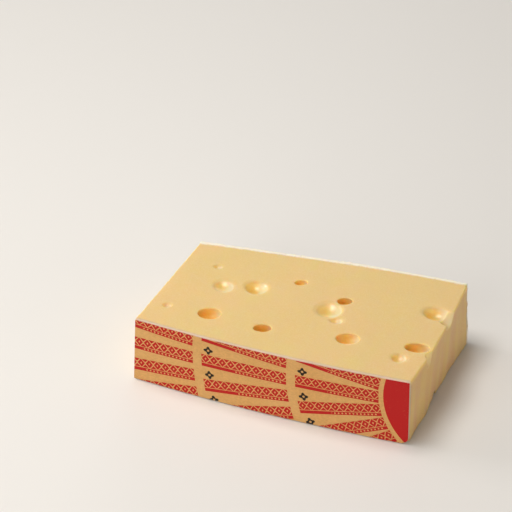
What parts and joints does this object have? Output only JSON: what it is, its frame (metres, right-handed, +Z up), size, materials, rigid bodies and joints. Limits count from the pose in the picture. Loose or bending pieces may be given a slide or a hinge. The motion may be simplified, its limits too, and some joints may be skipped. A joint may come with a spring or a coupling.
{
  "type": "cheese wedge",
  "caption": "Slab cut from a wheel of holed hard cheese, lying on a cut side, with a printed paper label on its front rind.",
  "frame": {"origin": "centre of the bounding box's base, on the surface that the slab rests on", "axes": "+X towards the end cut near the wheel's centre, -Y out of the labelled rind, +Z up out of the top cut"},
  "size_m": [0.346, 0.2092, 0.093],
  "materials": {
    "cheese": "smooth, slightly oily cut paste in pale straw yellow, orange inside the eyes, with a pale dry rind",
    "label": "tan kraft paper with red and black print"
  },
  "bodies": {
    "root": {"cheese": "cheese", "label": "label"}
  },
  "joints": []
}
